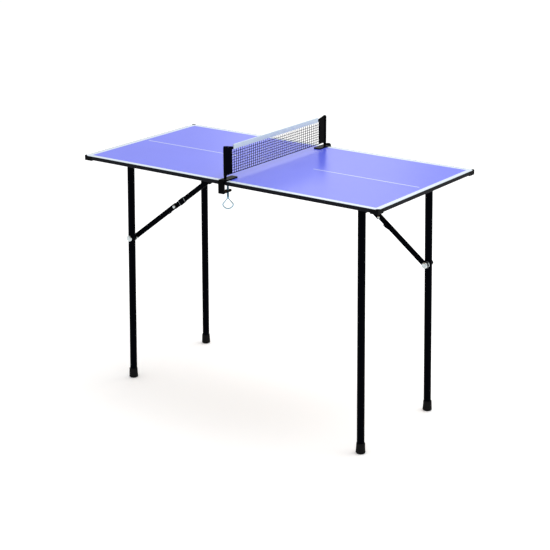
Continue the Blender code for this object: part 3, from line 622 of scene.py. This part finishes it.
def woven_tape():
    """Bleached cotton tape: matt white, a plain weave, one row of stitches."""
    material, tree, shader = new_material(
        "white cotton tape", "CBD9DE", 0.85, IOR=1.5, Specular_IOR_Level=0.2
    )
    position = add_node(tree, "ShaderNodeTexCoord").outputs["Object"]
    parts = add_node(tree, "ShaderNodeSeparateXYZ", {"Vector": position})
    along = math_node(tree, "SINE", math_node(tree, "MULTIPLY", parts.outputs["Y"], math.tau / WEAVE_PITCH))
    upward = math_node(tree, "SINE", math_node(tree, "MULTIPLY", parts.outputs["Z"], math.tau / WEAVE_PITCH))
    yarns = math_node(tree, "MULTIPLY", along, upward)
    dash = math_node(tree, "SINE", math_node(tree, "MULTIPLY", parts.outputs["Y"], math.tau / STITCH_PITCH))
    in_dash = math_node(tree, "GREATER_THAN", dash, -0.3)
    height = math_node(tree, "ABSOLUTE", math_node(tree, "SUBTRACT", parts.outputs["Z"], STITCH_Z))
    near_row = math_node(tree, "LESS_THAN", height, 0.45 * MM)
    stitch = math_node(tree, "MULTIPLY", in_dash, near_row)
    relief = math_node(tree, "MULTIPLY_ADD", stitch, -3.0, yarns)
    bump = add_node(tree, "ShaderNodeBump", {"Height": relief, "Strength": 0.5, "Distance": 0.12 * MM})
    tree.links.new(bump.outputs["Normal"], shader.inputs["Normal"])
    soil = add_node(tree, "ShaderNodeTexNoise", {"Vector": position, "Scale": 60.0, "Detail": 4.0})
    color = add_node(
        tree,
        "ShaderNodeMix",
        {0: soil.outputs["Fac"], 6: linear("C2D2D6"), 7: linear("D4E0E2")},
        data_type="RGBA",
    )
    sewn = add_node(
        tree,
        "ShaderNodeMix",
        {0: stitch, 6: color.outputs[2], 7: linear("B8C8D6")},
        data_type="RGBA",
    )
    tree.links.new(sewn.outputs[2], shader.inputs["Base Color"])
    return material


# %% Folded tape
TAPE_CLOTH = 0.5 * MM


def folded_section(top, bottom, half, cloth, turns=8):
    """The outline of a strip folded over: down one side inside, and back up outside."""
    center = top - half
    outer = []
    inner = []
    for turn in range(turns + 1):
        angle = math.pi * turn / turns
        outer.append((half * math.cos(angle), center + half * math.sin(angle)))
        inner.append(((half - cloth) * math.cos(angle), center + (half - cloth) * math.sin(angle)))
    outline = [(half, bottom), *outer, (-half, bottom)]
    outline += [(-half + cloth, bottom), *reversed(inner), (half - cloth, bottom)]
    return outline


def make_tape():
    bm = bmesh.new()
    half = (tape_high.x - tape_low.x) / 2
    outline = folded_section(tape_high.z, tape_low.z, half, TAPE_CLOTH)
    lengths = spread_evenly(tape_low.y, tape_high.y, 12 * MM)
    rings = []
    for y in lengths:
        ring = [bm.verts.new((NET_X + x, y, z)) for x, z in outline]
        rings.append(ring)
    join_rings(bm, rings)
    return link_mesh("net_folded_tape", bm, woven_tape())


tape = make_tape()
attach(tape, "table")
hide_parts("net_tape")

# %% [markdown]
# ## The clamp screws
#
# Each clamp is closed with a short threaded rod. Its lower end is crimped into a ferrule that
# holds a triangle of wire to turn it by. The thread is modelled as a ridge that climbs by one
# pitch each turn, which is how a tap cuts it.

# %% Threaded rod with its wire loop
THREAD_PITCH = 1.0 * MM
THREAD_DEPTH = 0.55 * MM
ROD_RADIUS = 3.0 * MM
LOOP_HALF_WIDTH = 12.7 * MM
LOOP_HEIGHT = 27.5 * MM
LOOP_CORNER = 4.9 * MM
LOOP_SLOPE = math.radians(39)
LOOP_WIRE = 1.6 * MM
LOOP_TURN = math.radians(36)


def threaded_rod(bm, top, bottom, steps=24):
    """Rings that bulge in and out, each turned on a little from the last."""
    rings = []
    rows = int((top - bottom) / (THREAD_PITCH / 4))
    for row in range(rows + 1):
        height = top - (top - bottom) * row / rows
        ring = []
        for step in range(steps):
            angle = math.tau * step / steps
            phase = height / THREAD_PITCH - step / steps
            ridge = 0.5 + 0.5 * math.cos(math.tau * phase)
            radius = ROD_RADIUS - THREAD_DEPTH * (1 - ridge)
            if row in (0, rows):
                radius = ROD_RADIUS - THREAD_DEPTH
            ring.append(bm.verts.new((radius * math.cos(angle), radius * math.sin(angle), height)))
        rings.append(ring)
    join_rings(bm, rings)


def wire_arc(center_x, center_z, radius, start, stop, steps):
    points = []
    for step in range(steps + 1):
        angle = start + (stop - start) * step / steps
        x = center_x + radius * math.cos(angle)
        points.append(Vector((x, 0.0, center_z + radius * math.sin(angle))))
    return points


def rounded_triangle(top_z):
    """A wire path: straight sides from a point, two tight corners and a bowed bottom."""
    corner_x = LOOP_HALF_WIDTH - LOOP_CORNER
    corner_z = -(LOOP_CORNER + corner_x * math.cos(LOOP_SLOPE)) / math.sin(LOOP_SLOPE)
    rise = LOOP_HEIGHT + corner_z
    bottom = (corner_x**2 + rise**2 - LOOP_CORNER**2) / (2 * (rise - LOOP_CORNER))
    bottom_z = bottom - LOOP_HEIGHT
    meet = math.atan2(corner_z - bottom_z, corner_x)
    right = wire_arc(corner_x, top_z + corner_z, LOOP_CORNER, LOOP_SLOPE, meet, 10)
    under = wire_arc(0.0, top_z + bottom_z, bottom, meet, -math.pi - meet, 20)[1:-1]
    left = wire_arc(-corner_x, top_z + corner_z, LOOP_CORNER, -math.pi - meet, -math.pi - LOOP_SLOPE, 10)
    return [Vector((0.0, 0.0, top_z)), *right, *under, *left]


def make_clamp_screw(end, y):
    low, high = box_of(f"clamp_screw_{end}")
    ferrule_z = low.z + LOOP_HEIGHT + LOOP_WIRE
    bm = bmesh.new()
    threaded_rod(bm, high.z, ferrule_z)
    loop = bmesh.new()
    sweep(loop, rounded_triangle(ferrule_z), LOOP_WIRE, sides=10, closed=True, side_hint=Vector((0, 1, 0)))
    loop.transform(Matrix.Rotation(LOOP_TURN, 4, "Z"))
    loop_mesh = bpy.data.meshes.new("loop")
    loop.to_mesh(loop_mesh)
    loop.free()
    bm.from_mesh(loop_mesh)
    bpy.data.meshes.remove(loop_mesh)
    screw = link_mesh(f"threaded_screw_{end}", bm, BLUE_ZINC, Matrix.Translation((NET_X, y, 0.0)))
    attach(screw, f"{end}_screw")
    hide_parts(f"clamp_screw_{end}")
    make_ferrule(end, y, ferrule_z)


def make_ferrule(end, y, ferrule_z):
    """The crimp that joins the wire to the rod: two lips and a waist."""
    bm = bmesh.new()
    profile = [
        (ROD_RADIUS - 0.3 * MM, ferrule_z + 3.0 * MM),
        (ROD_RADIUS + 0.3 * MM, ferrule_z + 2.6 * MM),
        (ROD_RADIUS + 0.1 * MM, ferrule_z + 0.6 * MM),
        (ROD_RADIUS + 0.4 * MM, ferrule_z - 1.2 * MM),
        (ROD_RADIUS - 0.6 * MM, ferrule_z - 2.2 * MM),
    ]
    turn_profile(bm, profile)
    ferrule = link_mesh(f"crimped_ferrule_{end}", bm, BLUE_ZINC, Matrix.Translation((NET_X, y, 0.0)))
    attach(ferrule, f"{end}_screw")


for end in ("near", "far"):
    low, high = box_of(f"clamp_pad_{end}")
    make_clamp_screw(end, (low.y + high.y) / 2)

# %% [markdown]
# ## Screws under the board
#
# Pan head screws hold the hinge saddles and the brace brackets. They are only seen from below.

# %% Pan head screws
SCREW_HEAD = 3.6 * MM
SCREW_HEAD_HEIGHT = 2.0 * MM


def pan_head():
    """A domed head, looking down."""
    bm = bmesh.new()
    profile = [
        (SCREW_HEAD * 0.98, 0.0),
        (SCREW_HEAD, -0.4 * MM),
        (SCREW_HEAD * 0.92, -1.2 * MM),
        (SCREW_HEAD * 0.62, -1.8 * MM),
        (SCREW_HEAD * 0.30, -SCREW_HEAD_HEIGHT),
    ]
    turn_profile(bm, profile, steps=20)
    mesh = bpy.data.meshes.new("pan_head")
    bmesh.ops.recalc_face_normals(bm, faces=bm.faces)
    bm.to_mesh(mesh)
    bm.free()
    mesh.materials.append(ZINC)
    for face in mesh.polygons:
        face.use_smooth = True
    return mesh


def place_screw(mesh, name, x, y, z):
    screw = bpy.data.objects.new(name, mesh)
    bpy.context.scene.collection.objects.link(screw)
    screw.matrix_world = Matrix.Translation((x, y, z))
    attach(screw, "table")


head = pan_head()
for name in saddle_names:
    low, high = box_of(name)
    plate_z = high.z - 1.5 * MM
    for side in (-1, 1):
        x = (low.x + high.x) / 2 + side * 19 * MM
        place_screw(head, f"screw_{name}_{'in' if side < 0 else 'out'}", x, (low.y + high.y) / 2, plate_z)
for end in ("left", "right"):
    low, high = box_of(f"brace_bracket_{end}")
    inward = 1 if end == "left" else -1
    y = (low.y + high.y) / 2 + inward * 3 * MM
    for side in (-1, 1):
        x = (low.x + high.x) / 2 + side * 10 * MM
        place_screw(head, f"screw_bracket_{end}_{'a' if side < 0 else 'b'}", x, y, high.z - 3.0 * MM)

# %% [markdown]
# ## The studio
#
# The table stands on a white floor that fills the view, under an even white sky. One large soft
# light hangs above it. A second, weak one stands low behind it, and its reflection brightens the
# middle of the board.

# %% Floor
FLOOR_GLOW = 0.12  # a little light of its own, so that the shadows on it stay faint


def matt_floor():
    """White paper, lit a little from behind."""
    material, tree, shader = new_material(
        "white paper floor",
        "FFFFFF",
        0.95,
        Specular_IOR_Level=0.0,
        Emission_Color=linear("FFFFFF"),
        Emission_Strength=FLOOR_GLOW,
    )
    position = add_node(tree, "ShaderNodeTexCoord").outputs["Object"]
    tooth = add_node(tree, "ShaderNodeTexNoise", {"Vector": position, "Scale": 400.0})
    bump = add_node(
        tree,
        "ShaderNodeBump",
        {"Height": tooth.outputs["Fac"], "Strength": 0.02, "Distance": MM},
    )
    tree.links.new(bump.outputs["Normal"], shader.inputs["Normal"])
    return material


def make_floor(half=30.0):
    bm = bmesh.new()
    corners = [bm.verts.new((x * half, y * half, 0.0)) for x, y in ((-1, -1), (1, -1), (1, 1), (-1, 1))]
    bm.faces.new(corners)
    floor = link_mesh("floor", bm, matt_floor(), Matrix.Translation((0, 0, -0.0005)), smooth=False)


make_floor()

# %% Sky and lights
SKY_STRENGTH = 0.90
OVERHEAD_WATTS = 50
BACK_WATTS = 3.2

world = bpy.data.worlds.new("soft white studio")
bpy.context.scene.world = world
world.use_nodes = True
world.node_tree.nodes["Background"].inputs["Color"].default_value = linear("FFFFFF")
world.node_tree.nodes["Background"].inputs["Strength"].default_value = SKY_STRENGTH


def soft_box(name, place, target, size, watts):
    data = bpy.data.lights.new(name, "AREA")
    data.shape = "RECTANGLE"
    data.size, data.size_y = size
    data.energy = watts
    light = bpy.data.objects.new(name, data)
    bpy.context.scene.collection.objects.link(light)
    light.location = place
    aim = Vector(target) - Vector(place)
    light.rotation_euler = aim.to_track_quat("-Z", "Y").to_euler()


soft_box("overhead soft box", (0.6, 0.8, 3.2), (0.0, 0.0, 0.6), (2.6, 2.6), OVERHEAD_WATTS)
soft_box("back soft box", (-2.1, 3.3, 2.0), (0.10, 0.0, TOP_Z), (1.0, 0.9), BACK_WATTS)

# %% [markdown]
# ## The camera
#
# The table is seen from its near right corner, from a little above. The lens is long, so the
# sides of the board stay nearly parallel.

# %% Camera
AZIMUTH = 36.01
ELEVATION = 18.46
ROLL = -0.21
DISTANCE = 3.862
TARGET = Vector((0.0, -0.0043, 0.3336))
LENS = 96.82  # on a 36 mm sensor


def make_camera():
    azimuth, elevation = math.radians(AZIMUTH), math.radians(ELEVATION)
    back = Vector(
        (
            math.sin(azimuth) * math.cos(elevation),
            -math.cos(azimuth) * math.cos(elevation),
            math.sin(elevation),
        )
    )
    data = bpy.data.cameras.new("camera")
    data.lens = LENS
    data.sensor_width = 36.0
    data.clip_end = 200.0
    camera = bpy.data.objects.new("camera", data)
    bpy.context.scene.collection.objects.link(camera)
    right = Vector((0, 0, 1)).cross(back).normalized()
    up = back.cross(right)
    roll = math.radians(ROLL)
    tilted_right = right * math.cos(roll) + up * math.sin(roll)
    tilted_up = up * math.cos(roll) - right * math.sin(roll)
    turn = Matrix((tilted_right, tilted_up, back)).transposed().to_4x4()
    camera.matrix_world = Matrix.Translation(TARGET + back * DISTANCE) @ turn
    bpy.context.scene.camera = camera


make_camera()
bpy.context.scene.view_settings.view_transform = "Standard"
